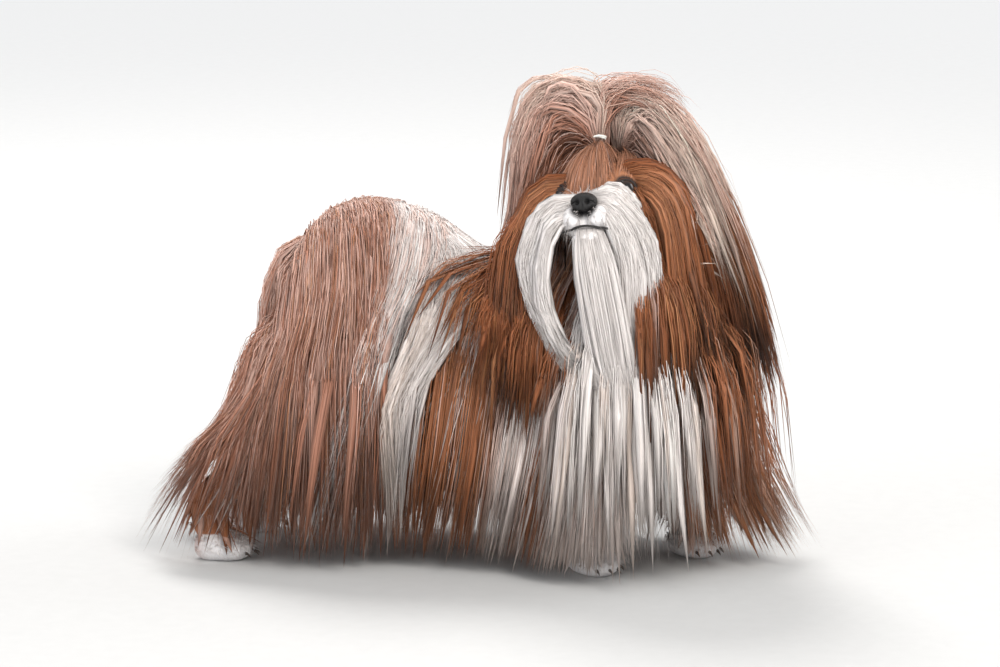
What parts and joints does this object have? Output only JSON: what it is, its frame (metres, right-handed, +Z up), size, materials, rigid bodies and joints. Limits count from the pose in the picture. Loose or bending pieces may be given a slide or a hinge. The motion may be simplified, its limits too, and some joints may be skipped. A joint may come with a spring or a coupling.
{
  "type": "dog model",
  "caption": "Life-size still model of a standing shih tzu in a floor-length show coat, with a banded topknot, its head raised and turned to one side.",
  "frame": {"origin": "centre of the footprint of the model's bounding box, on the floor that the paws stand on", "axes": "+Z up; the dog's chest points towards -Y and its tail end towards +Y; its left side is towards +X"},
  "size_m": [0.2984, 0.6005, 0.455],
  "materials": {
    "coat_head": "long silky hair, golden red-brown with a white muzzle",
    "coat_ear": "long silky hair, red-brown with black-brown tips",
    "coat_topknot": "long silky hair, light red-brown",
    "coat_bib": "long silky hair, white",
    "coat_body": "long silky hair, red-brown with white areas",
    "coat_leg": "soft hair, white",
    "coat_tail": "long silky hair, red-brown with a white tip",
    "nose": "black, finely pebbled, moist",
    "eye": "clear over dark brown",
    "band_white": "matt elastic",
    "band_pale": "matt elastic"
  },
  "bodies": {
    "root": {"head": "coat_head", "nose": "nose", "eye_left": "eye", "eye_right": "eye", "ear_left": "coat_ear", "ear_right": "coat_ear", "topknot": "coat_topknot", "topknot_band_front": "band_white", "topknot_band_rear": "band_pale", "neck": "coat_bib", "torso": "coat_body", "leg_front_left": "coat_leg", "leg_front_right": "coat_leg", "leg_hind_left": "coat_leg", "leg_hind_right": "coat_leg", "tail": "coat_tail"}
  },
  "joints": []
}
